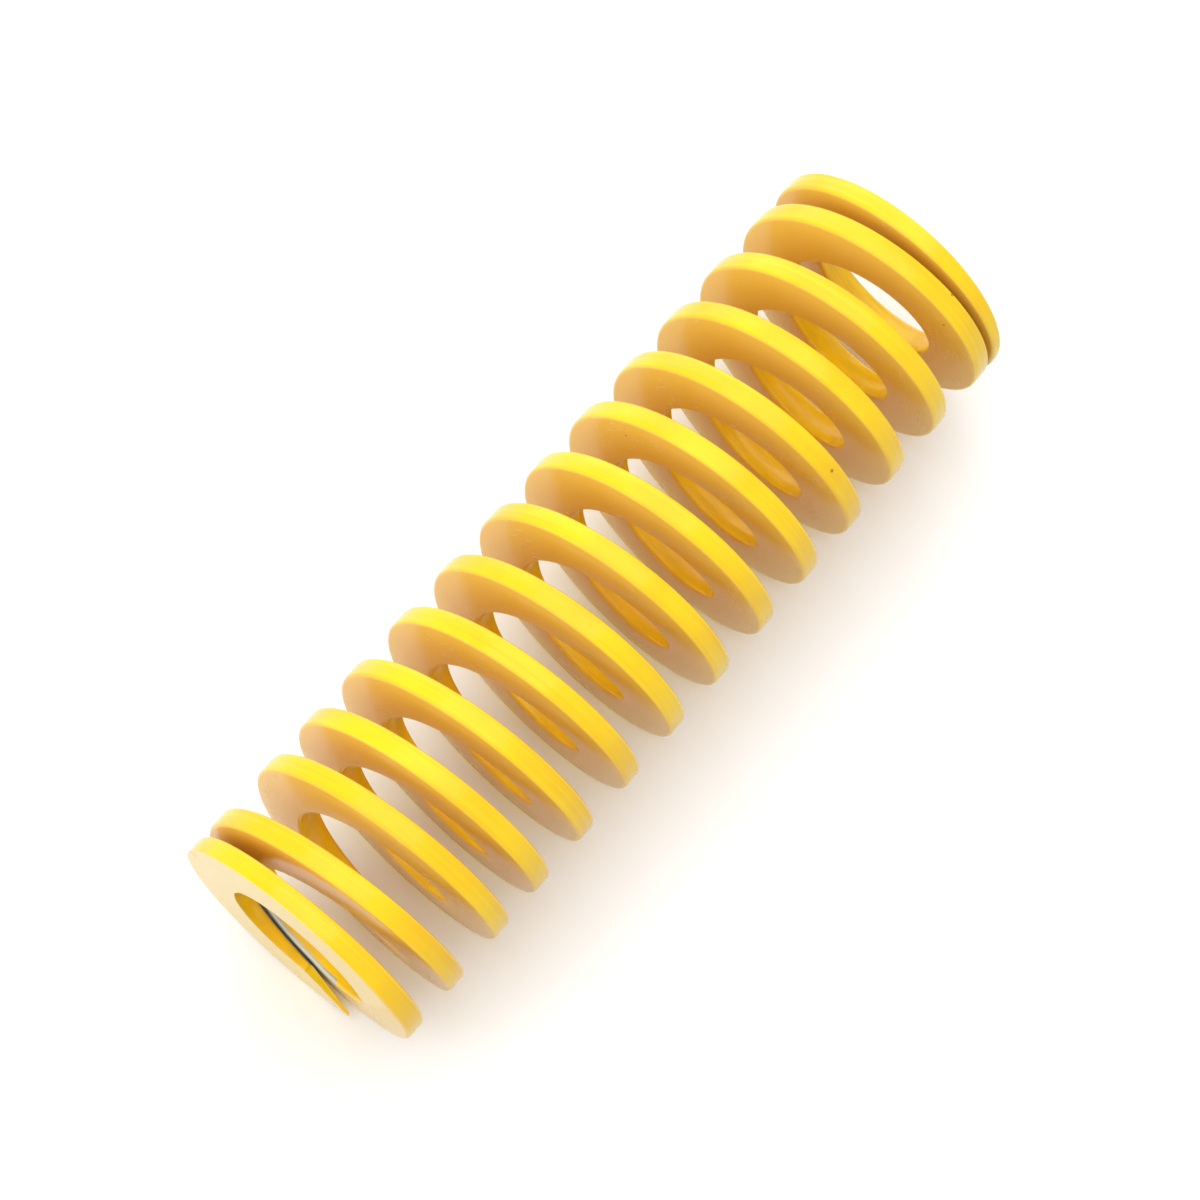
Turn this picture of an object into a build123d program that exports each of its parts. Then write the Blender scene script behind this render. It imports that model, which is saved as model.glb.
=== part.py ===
from build123d import *
from math import cos, pi, sin
import os

os.makedirs("parts", exist_ok=True)

# Helical die spring standing on its ground end, +Z along the coil axis, millimetres.
# The origin is the centre of the lower ground face.

# Coil envelope
OUTSIDE_DIAMETER = 29.8
BORE_DIAMETER = 17.0
FREE_LENGTH = 100.0
WOUND_TURNS = 14.94

# Keystone wire section, thickened at the bore by the coiling
WIRE_EDGE_THICKNESS = 2.5
WIRE_BORE_THICKNESS = 3.1
CORNER_BREAK = 0.45

# Winding program: the pitch at stations counted in turns from each wire tip
TIP_PITCH = 7.75
SEAT_TURN = 0.5
SEAT_PITCH = 0.2
OPENING_TURN = 1.0
TOP_OPEN_TURN = 1.87
TOP_FIRST_PITCH = 8.2
TOP_EASED_TURN = 2.9
TOP_EASED_PITCH = 6.2
TOP_SETTLED_TURN = 4.72
BOTTOM_OPEN_TURN = 1.35

# Clearance between each tip and the turn it lies on, and the depth ground off each end
TIP_CLEARANCE = 0.3
GRIND_DEPTH = 1.0

# Oblique parting of the wire at the top tip, measured back from the square end
PARTING_SETBACK_AT_EDGE = 0.8
PARTING_SETBACK_AT_BORE = 3.3

# Fineness of the spline that carries the wire
PATH_STEPS_PER_TURN = 12

MEAN_RADIUS = (OUTSIDE_DIAMETER + BORE_DIAMETER) / 4
BAR_WIDTH = (OUTSIDE_DIAMETER - BORE_DIAMETER) / 2

# The first turn climbs past its own tip by the wire and a small clearance, and never binds.
SEAT_RISE = SEAT_TURN * (TIP_PITCH + SEAT_PITCH) / 2
OPENING_RISE = WIRE_BORE_THICKNESS + TIP_CLEARANCE - SEAT_RISE
OPENING_PITCH = 2 * OPENING_RISE / (OPENING_TURN - SEAT_TURN) - SEAT_PITCH


def wound_height(turn, active_pitch):
    """Depth of the wire below the top tip after so many turns."""
    stations = [
        (0, TIP_PITCH),
        (SEAT_TURN, SEAT_PITCH),
        (OPENING_TURN, OPENING_PITCH),
        (TOP_OPEN_TURN, TOP_FIRST_PITCH),
        (TOP_EASED_TURN, TOP_EASED_PITCH),
        (TOP_SETTLED_TURN, active_pitch),
        (WOUND_TURNS - BOTTOM_OPEN_TURN, active_pitch),
        (WOUND_TURNS - OPENING_TURN, OPENING_PITCH),
        (WOUND_TURNS - SEAT_TURN, SEAT_PITCH),
        (WOUND_TURNS, TIP_PITCH),
    ]
    height = 0
    for (start, before), (end, after) in zip(stations, stations[1:]):
        run = min(max(turn - start, 0), end - start)
        reached = before + (after - before) * run / (end - start)
        height += run * (before + reached) / 2
    return height


# The active pitch is what brings the tips out to the free length plus both grinding depths.
TIP_TO_TIP = FREE_LENGTH + 2 * GRIND_DEPTH
FLAT_WINDING = wound_height(WOUND_TURNS, 0)
ACTIVE_PITCH = (TIP_TO_TIP - FLAT_WINDING) / (wound_height(WOUND_TURNS, 1) - FLAT_WINDING)

# The wire's centre line, wound right-handed from the top tip, on +X, down to the bottom tip
path_steps = round(WOUND_TURNS * PATH_STEPS_PER_TURN)
centre_line = []
for step in range(path_steps + 1):
    turn = WOUND_TURNS * step / path_steps
    angle = -2 * pi * turn
    height = FREE_LENGTH + GRIND_DEPTH - wound_height(turn, ACTIVE_PITCH)
    centre_line.append((MEAN_RADIUS * cos(angle), MEAN_RADIUS * sin(angle), height))

with BuildPart() as die_spring:
    with BuildLine() as winding:
        Spline(centre_line)
    coil = winding.wires()[0]

    # Keystone section with its four corners broken, square to the wire at the top tip
    with BuildSketch(Plane(origin=coil @ 0, x_dir=(1, 0, 0), z_dir=coil % 0)):
        with BuildLine():
            Polyline(
                (-BAR_WIDTH / 2, -WIRE_BORE_THICKNESS / 2),
                (BAR_WIDTH / 2, -WIRE_EDGE_THICKNESS / 2),
                (BAR_WIDTH / 2, WIRE_EDGE_THICKNESS / 2),
                (-BAR_WIDTH / 2, WIRE_BORE_THICKNESS / 2),
                close=True,
            )
        face = make_face()
        chamfer(face.vertices(), CORNER_BREAK)
    sweep(path=coil, is_frenet=True)

    # The parting blade stops midway in the clearance under the tip, and follows the wire's slope.
    blade_stop = FREE_LENGTH + GRIND_DEPTH - (WIRE_BORE_THICKNESS + TIP_CLEARANCE) / 2
    blade_edge = Plane(
        origin=(BORE_DIAMETER / 2, 0, blade_stop),
        x_dir=(1, 0, 0),
        z_dir=(0, -TIP_PITCH, pi * BORE_DIAMETER),
    )
    overrun = WIRE_EDGE_THICKNESS / 2
    slant = (PARTING_SETBACK_AT_BORE - PARTING_SETBACK_AT_EDGE) / BAR_WIDTH
    with BuildSketch(blade_edge):
        with BuildLine():
            Polyline(
                (-overrun, overrun),
                (-overrun, -PARTING_SETBACK_AT_BORE - slant * overrun),
                (BAR_WIDTH + overrun, -PARTING_SETBACK_AT_EDGE + slant * overrun),
                (BAR_WIDTH + overrun, overrun),
                close=True,
            )
        make_face()
    extrude(amount=WIRE_BORE_THICKNESS + GRIND_DEPTH, mode=Mode.SUBTRACT)

    # Both ends ground flat and square to the axis
    grinding_width = 2 * OUTSIDE_DIAMETER
    with Locations((0, 0, FREE_LENGTH / 2)):
        Box(grinding_width, grinding_width, FREE_LENGTH, mode=Mode.INTERSECT)

die_spring.part.label = "die_spring"
export_step(die_spring.part, "parts/die_spring.step")
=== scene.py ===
from math import atan2, cos, hypot, pi, radians, sin
import bmesh
import bpy
from mathutils import Matrix, Quaternion, Vector


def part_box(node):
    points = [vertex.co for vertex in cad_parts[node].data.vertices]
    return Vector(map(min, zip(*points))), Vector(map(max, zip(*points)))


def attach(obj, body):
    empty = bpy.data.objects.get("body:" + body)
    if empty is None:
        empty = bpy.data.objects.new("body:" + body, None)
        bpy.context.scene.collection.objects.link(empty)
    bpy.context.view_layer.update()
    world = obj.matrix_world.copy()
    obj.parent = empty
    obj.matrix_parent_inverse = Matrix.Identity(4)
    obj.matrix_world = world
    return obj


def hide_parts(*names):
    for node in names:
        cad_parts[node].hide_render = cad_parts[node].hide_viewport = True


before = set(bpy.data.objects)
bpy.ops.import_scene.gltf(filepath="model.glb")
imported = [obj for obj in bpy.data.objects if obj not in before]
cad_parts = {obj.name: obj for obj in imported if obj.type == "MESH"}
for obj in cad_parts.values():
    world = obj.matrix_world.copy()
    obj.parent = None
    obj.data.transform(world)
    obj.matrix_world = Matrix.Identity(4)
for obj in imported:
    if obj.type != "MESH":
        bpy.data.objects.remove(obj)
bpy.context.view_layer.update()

# The coil: one length of flattened spring-steel wire, wound right-handed round a mandrel, which
# thickened it at the bore. Its last turns are pressed shut and ground flat, the wire is parted
# obliquely at the upper tip, and the whole is coated in a glossy yellow enamel.
low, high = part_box("die_spring")
free_length = high.z - low.z
outside_radius = 0.0149
bore_radius = 0.0085
wire_edge_thickness = 0.0025
wire_bore_thickness = 0.0031
corner_radius = 0.00058
wound_turns = 14.94
tip_clearance = 0.0003
grind_depth = 0.001
setback_at_edge = 0.0008
setback_at_bore = 0.0033
steps_per_stretch = 6
stretches_per_turn = 16
stretches_opening = 4 * stretches_per_turn + 12
stretches_closing = 22
stretches_to_part = 2

tip_pitch = 0.00775
seat_turn = 0.5
seat_pitch = 0.0002
opening_turn = 1.0
top_open_turn = 1.87
top_first_pitch = 0.0082
top_eased_turn = 2.9
top_eased_pitch = 0.0062
top_settled_turn = 4.72
bottom_open_turn = 1.35
seat_rise = seat_turn * (tip_pitch + seat_pitch) / 2
opening_rise = wire_bore_thickness + tip_clearance - seat_rise
opening_pitch = 2 * opening_rise / (opening_turn - seat_turn) - seat_pitch


def wound_depth(turn, active_pitch):
    """How far the wire has come down from its upper tip after so many turns."""
    stations = [
        (0, tip_pitch),
        (seat_turn, seat_pitch),
        (opening_turn, opening_pitch),
        (top_open_turn, top_first_pitch),
        (top_eased_turn, top_eased_pitch),
        (top_settled_turn, active_pitch),
        (wound_turns - bottom_open_turn, active_pitch),
        (wound_turns - opening_turn, opening_pitch),
        (wound_turns - seat_turn, seat_pitch),
        (wound_turns, tip_pitch),
    ]
    depth = 0.0
    for (start, before), (end, after) in zip(stations, stations[1:]):
        run = min(max(turn - start, 0.0), end - start)
        reached = before + (after - before) * run / (end - start)
        depth += run * (before + reached) / 2
    return depth


flat_winding = wound_depth(wound_turns, 0.0)
per_pitch = wound_depth(wound_turns, 1.0) - flat_winding
active_pitch = (free_length + 2 * grind_depth - flat_winding) / per_pitch

wire = bmesh.new()
top = high.z + grind_depth
hair = 1e-7
corners = [
    wire.verts.new((bore_radius, 0, top - wire_bore_thickness / 2)),
    wire.verts.new((outside_radius, 0, top - wire_edge_thickness / 2)),
    wire.verts.new((outside_radius, 0, top + wire_edge_thickness / 2)),
    wire.verts.new((bore_radius, 0, top + wire_bore_thickness / 2)),
]
wire.faces.new(corners)
bmesh.ops.bevel(wire, geom=corners, offset=corner_radius, offset_type="WIDTH", segments=5,
                profile=0.5, affect="VERTICES", clamp_overlap=True, material=-1)
rim = wire.edges[:]
# Short stretches where the pitch changes, and one long stretch between them
stretch_ends = [step / stretches_per_turn for step in range(stretches_opening + 1)]
stretch_ends += [wound_turns - step / stretches_per_turn for step in range(stretches_closing, -1, -1)]
for start, end in zip(stretch_ends, stretch_ends[1:]):
    steps = round((end - start) * stretches_per_turn * steps_per_stretch)
    drop = (wound_depth(end, active_pitch) - wound_depth(start, active_pitch)) / steps
    spun = bmesh.ops.spin(wire, geom=rim, cent=(0, 0, 0), axis=(0, 0, 1), dvec=(0, 0, -drop),
                          angle=-2 * pi * (end - start), steps=steps, use_merge=False)
    rim = [part for part in spun["geom_last"] if isinstance(part, bmesh.types.BMEdge)]
    if end == stretch_ends[stretches_to_part]:
        # The wire is parted here, before the next turns lie beside its tip
        edge_end = Vector((outside_radius, -setback_at_edge, 0))
        bore_end = Vector((bore_radius, -setback_at_bore, 0))
        slant = (edge_end - bore_end).cross(Vector((0, 0, 1))).normalized()
        tip = wire.verts[:] + wire.edges[:] + wire.faces[:]
        bmesh.ops.bisect_plane(wire, geom=tip, dist=hair, plane_co=edge_end, plane_no=-slant,
                               clear_outer=True)
bmesh.ops.holes_fill(wire, edges=[edge for edge in wire.edges if edge.is_boundary], sides=0)
for level, outward in ((high.z, 1), (low.z, -1)):
    bmesh.ops.bisect_plane(wire, geom=wire.verts[:] + wire.edges[:] + wire.faces[:], dist=hair,
                           plane_co=(0, 0, level), plane_no=(0, 0, outward), clear_outer=True)
    open_edges = [edge for edge in wire.edges if edge.is_boundary]
    bmesh.ops.holes_fill(wire, edges=open_edges, sides=0)
bmesh.ops.recalc_face_normals(wire, faces=wire.faces[:])
coil_mesh = bpy.data.meshes.new("coil")
wire.to_mesh(coil_mesh)
wire.free()
coil_mesh.shade_smooth()
coil_mesh.set_sharp_from_angle(angle=radians(30))

# Where each point lies, for the enamel: how far along the wire, across it and out from the axis, and
# its clearance from the next turn where it faces one
lays = []
clearances = []
depths = {}
turn_limit = round(wound_turns) + 2
for point in coil_mesh.vertices:
    reach = hypot(point.co.x, point.co.y)
    part_turn = round(-atan2(point.co.y, point.co.x) / (2 * pi) % 1, 5)
    if part_turn not in depths:
        turns = [part_turn + whole for whole in range(-1, turn_limit)]
        depths[part_turn] = [(turn, wound_depth(turn, active_pitch)) for turn in turns]
    near = depths[part_turn]
    nearest = min(range(1, turn_limit), key=lambda at: abs(top - near[at][1] - point.co.z))
    turn, depth = near[nearest]
    across = point.co.z - (top - depth)
    lays += [2 * pi * outside_radius * turn, across, reach]
    taper = (reach - bore_radius) / (outside_radius - bore_radius)
    thickness = wire_bore_thickness + (wire_edge_thickness - wire_bore_thickness) * taper
    neighbour = nearest - 1 if across > 0 else nearest + 1
    lip_in_bore = across > 0 and reach < bore_radius + corner_radius
    worn_back = corner_radius * (0.75 if lip_in_bore else 0.5)
    faces_it = abs(across) > thickness / 2 - worn_back
    if faces_it and 0 <= near[neighbour][0] <= wound_turns:
        clearances.append(abs(near[neighbour][1] - depth) - thickness)
    else:
        clearances.append(active_pitch)
lay = coil_mesh.attributes.new("lay", "FLOAT_VECTOR", "POINT")
lay.data.foreach_set("vector", lays)
clear = coil_mesh.attributes.new("clear", "FLOAT", "POINT")
clear.data.foreach_set("value", clearances)
coil = bpy.data.objects.new("coil", coil_mesh)
bpy.context.collection.objects.link(coil)


class Sockets:
    """A node's output that takes part in Python arithmetic."""

    def __init__(self, tree, socket):
        self.tree = tree
        self.socket = socket

    def node(self, kind, settings=None, out=0, **inputs):
        made = self.tree.nodes.new(kind)
        for name, value in (settings or {}).items():
            setattr(made, name, value)
        for name, value in inputs.items():
            numbered = name[0] == "i" and name[1:].isdigit()
            slot = made.inputs[int(name[1:])] if numbered else made.inputs[name]
            if isinstance(value, Sockets):
                self.tree.links.new(value.socket, slot)
            else:
                slot.default_value = value
        return Sockets(self.tree, made.outputs[out])

    def math(self, operation, first, second=0.0):
        return self.node("ShaderNodeMath", {"operation": operation}, i0=first, i1=second)

    def __add__(self, other):
        return self.math("ADD", self, other)

    def __radd__(self, other):
        return self.math("ADD", other, self)

    def __sub__(self, other):
        return self.math("SUBTRACT", self, other)

    def __rsub__(self, other):
        return self.math("SUBTRACT", other, self)

    def __mul__(self, other):
        return self.math("MULTIPLY", self, other)

    def __rmul__(self, other):
        return self.math("MULTIPLY", other, self)

    def ramp(self, start, end):
        """0 at start and 1 at end, with an eased rise between."""
        settings = {"interpolation_type": "SMOOTHSTEP"}
        if start < end:
            return self.node("ShaderNodeMapRange", settings, i0=self, i1=start, i2=end, i3=0.0, i4=1.0)
        return self.node("ShaderNodeMapRange", settings, i0=self, i1=end, i2=start, i3=1.0, i4=0.0)

    def blend(self, none, full):
        return self.node("ShaderNodeMix", {"data_type": "RGBA"}, out=2, i0=self, i6=none, i7=full)

    def between(self, none, full):
        return self.node("ShaderNodeMix", {"data_type": "FLOAT"}, i0=self, i2=none, i3=full)


enamel = bpy.data.materials.new("yellow_enamel")
enamel.use_nodes = True
tree = enamel.node_tree
shader = tree.nodes["Principled BSDF"]
shader.inputs["Specular IOR Level"].default_value = 0.33
place = Sockets(tree, tree.nodes.new("ShaderNodeTexCoord").outputs["Object"])
normal = place.node("ShaderNodeNewGeometry", out=1)
upward = place.node("ShaderNodeSeparateXYZ", out=2, Vector=normal)
flank = place.math("ABSOLUTE", upward).ramp(0.6, 0.9)
wire_lay = place.node("ShaderNodeAttribute", {"attribute_name": "lay"}, out=1)


def drawn_out(waves_per_metre, detail, roughness):
    """Noise with its own scale along the wire, across it and out from the axis."""
    settings = {"operation": "MULTIPLY"}
    combed = place.node("ShaderNodeVectorMath", settings, i0=wire_lay, i1=waves_per_metre)
    return place.node("ShaderNodeTexNoise", Vector=combed, Scale=1.0, Detail=detail, Roughness=roughness)


# Brushed out along the wire: long faint streaks, and broader drifts of tone
streak = drawn_out((35, 2200, 1500), 4.0, 0.6)
drift = place.node("ShaderNodeTexNoise", Vector=place, Scale=90.0, Detail=3.0)
tint = drift.ramp(0.35, 0.65).blend((0.92, 0.55, 0.004, 1), (0.97, 0.64, 0.004, 1))
tint = (streak.ramp(0.5, 0.75) * 0.45).blend(tint, (0.84, 0.44, 0.004, 1))
tint = (streak.ramp(0.46, 0.3) * 0.5).blend(tint, (0.98, 0.68, 0.02, 1))

# Painted shade on the flanks: a darker, greyer tan, with pale scuffed patches, and a browner, mottled
# colour on the bore wall
out_from_axis = place.node("ShaderNodeSeparateXYZ", out=2, Vector=wire_lay)
in_bore = out_from_axis.ramp(bore_radius + 0.0005, bore_radius + 0.0001)
mottle = drawn_out((120, 900, 900), 5.0, 0.65)
tint = (in_bore * mottle.ramp(0.3, 0.7) * 0.7).blend(tint, (0.76, 0.44, 0.008, 1))
marks = drawn_out((400, 1400, 1400), 6.0, 0.75)
patch = place.node("ShaderNodeTexNoise", Vector=place, Scale=110.0)
scuff = marks.ramp(0.5, 0.66) * patch.ramp(0.52, 0.64) * flank
# Painted shade and painted reflection: the flanks, facing along the axis, are tinted darker, and greyed
# as if by reflected white light
tint = (flank * 0.9).blend(tint, (0.83, 0.515, 0.08, 1))
tint = (scuff * 0.4).blend(tint, (0.72, 0.56, 0.30, 1))

# The ground end faces, paler and creamier: a painted reflection of the bright surroundings, as seen at a
# grazing angle
above_middle = place.node("ShaderNodeSeparateXYZ", out=2, Vector=place) - (low.z + high.z) / 2
half_length = free_length / 2
ground = place.math("ABSOLUTE", above_middle).ramp(half_length - 0.00012, half_length - 0.00002)
tint = ground.blend(tint, (0.86, 0.62, 0.17, 1))

# Specks of dust in the enamel, each in a cell of its own
cells_per_metre = 330.0
off_centre = place.node("ShaderNodeTexVoronoi", Vector=place, Scale=cells_per_metre)
colour = place.node("ShaderNodeTexVoronoi", out=1, Vector=place, Scale=cells_per_metre)
chance = place.node("ShaderNodeSeparateColor", Color=colour)
speck = off_centre.ramp(0.09, 0.05) * chance.ramp(0.955, 0.96)
tint = (speck * 0.8).blend(tint, (0.20, 0.11, 0.03, 1))

# Bare steel where the closed turns kept the enamel out
ragged = place.node("ShaderNodeTexNoise", Vector=place, Scale=1500.0, Detail=3.0)
clear_of_next = place.node("ShaderNodeAttribute", {"attribute_name": "clear"}, out=2)
bare = (clear_of_next + (ragged - 0.5) * 0.0004).ramp(0.0007, 0.0004)
tint = bare.blend(tint, (0.50, 0.49, 0.40, 1))
tree.links.new(tint.socket, shader.inputs["Base Color"])
tree.links.new((bare * 0.5).socket, shader.inputs["Metallic"])

# Glossy, with a fine orange peel, rougher in the streaks and scuffs
peel = place.node("ShaderNodeTexNoise", Vector=place, Scale=1100.0, Detail=2.0)
rough = 0.11 + peel * 0.07 + streak * 0.08 + scuff * 0.2
tree.links.new(bare.between(rough, 0.42).socket, shader.inputs["Roughness"])
height = peel * 0.5 + streak * 0.6 + speck * 0.5 + ragged * bare
bump = place.node("ShaderNodeBump", Strength=0.5, Distance=0.00003, Height=height)
tree.links.new(bump.socket, shader.inputs["Normal"])
coil.data.materials.append(enamel)
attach(coil, "root")
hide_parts("die_spring")

# The studio: the spring lies along a plain white table, so the table stands upright beside the
# spring's own axis, and the camera looks down on it with a little roll.
camera_data = bpy.data.cameras.new("camera")
camera_data.lens = 110.825
camera_data.clip_start = 0.01
camera = bpy.data.objects.new("camera", camera_data)
bpy.context.collection.objects.link(camera)
azimuth = radians(139.893)
elevation = radians(15.702)
toward = Vector((cos(azimuth) * cos(elevation), sin(azimuth) * cos(elevation), sin(elevation)))
sideways = Vector((-sin(azimuth), cos(azimuth), 0)) * 0.000223
aim = sideways + Vector((0, 0, 0.05046))
camera.rotation_mode = "QUATERNION"
roll = Quaternion((0, 0, 1), radians(221.375))
camera.rotation_quaternion = toward.to_track_quat("Z", "Y") @ roll
camera.location = aim + toward * 0.39485
bpy.context.scene.camera = camera

table_side = radians(153.3)
table_gap = 0.0001
table_normal = Vector((cos(table_side), sin(table_side), 0))
table_bm = bmesh.new()
bmesh.ops.create_grid(table_bm, x_segments=1, y_segments=1, size=1.2)
resting = Matrix.Translation(-table_normal * (outside_radius + table_gap))
stood_up = table_normal.to_track_quat("Z", "Y").to_matrix().to_4x4()
bmesh.ops.transform(table_bm, matrix=resting @ stood_up, verts=table_bm.verts)
table_mesh = bpy.data.meshes.new("table")
table_bm.to_mesh(table_mesh)
table_bm.free()
table = bpy.data.objects.new("table", table_mesh)
bpy.context.collection.objects.link(table)
white = bpy.data.materials.new("white_table")
white.use_nodes = True
tree = white.node_tree
tree.nodes.remove(tree.nodes["Principled BSDF"])
start = Sockets(tree, None)
from_behind = start.node("ShaderNodeNewGeometry", out=6)
board = start.node("ShaderNodeBsdfDiffuse", Color=(0.93, 0.93, 0.93, 1))
see_through = start.node("ShaderNodeBsdfTransparent")
# The table gives the spring's underside an even light, so that it isn't black where it rests
bounced = start.node("ShaderNodeLightPath", out=2)
fill = start.node("ShaderNodeEmission", Color=(1, 0.98, 0.95, 1), Strength=0.58)
front = start.node("ShaderNodeMixShader", i0=bounced, i1=board, i2=fill)
either = start.node("ShaderNodeMixShader", i0=from_behind, i1=front, i2=see_through)
tree.links.new(either.socket, tree.nodes["Material Output"].inputs["Surface"])
table_mesh.materials.append(white)

world = bpy.data.worlds.new("studio")
world.use_nodes = True
bpy.context.scene.world = world
tree = world.node_tree
start = Sockets(tree, None)
seen, mirrored, passed = (start.node("ShaderNodeLightPath", out=ray) for ray in (0, 3, 6))
shown = start.math("MAXIMUM", start.math("MAXIMUM", seen, mirrored), passed)
backdrop = tree.nodes["Background"]
tree.links.new(shown.between(0.8, 1.0).socket, backdrop.inputs["Strength"])
backdrop.inputs["Color"].default_value = (1, 1, 1, 1)

# Three softboxes: one over the table, and one low off each end of the spring
lamp_distance = 0.6
off_lower_end = Vector((-0.2859, -0.5687, -0.7714))
across_table = off_lower_end.cross(table_normal)
for tilt, turned, watts in ((0, 0, 2.0), (72, 0, 2.0), (72, 240, 1.75)):
    lamp_data = bpy.data.lights.new("softbox", "AREA")
    lamp_data.shape = "SQUARE"
    lamp_data.size = 0.7
    lamp_data.energy = watts
    lamp = bpy.data.objects.new("softbox", lamp_data)
    bpy.context.collection.objects.link(lamp)
    level = off_lower_end * cos(radians(turned)) + across_table * sin(radians(turned))
    lamp_from = table_normal * cos(radians(tilt)) + level * sin(radians(tilt))
    lamp.location = aim + lamp_from * lamp_distance
    lamp.rotation_mode = "QUATERNION"
    lamp.rotation_quaternion = lamp_from.to_track_quat("Z", "Y")

bpy.context.scene.view_settings.view_transform = "Standard"
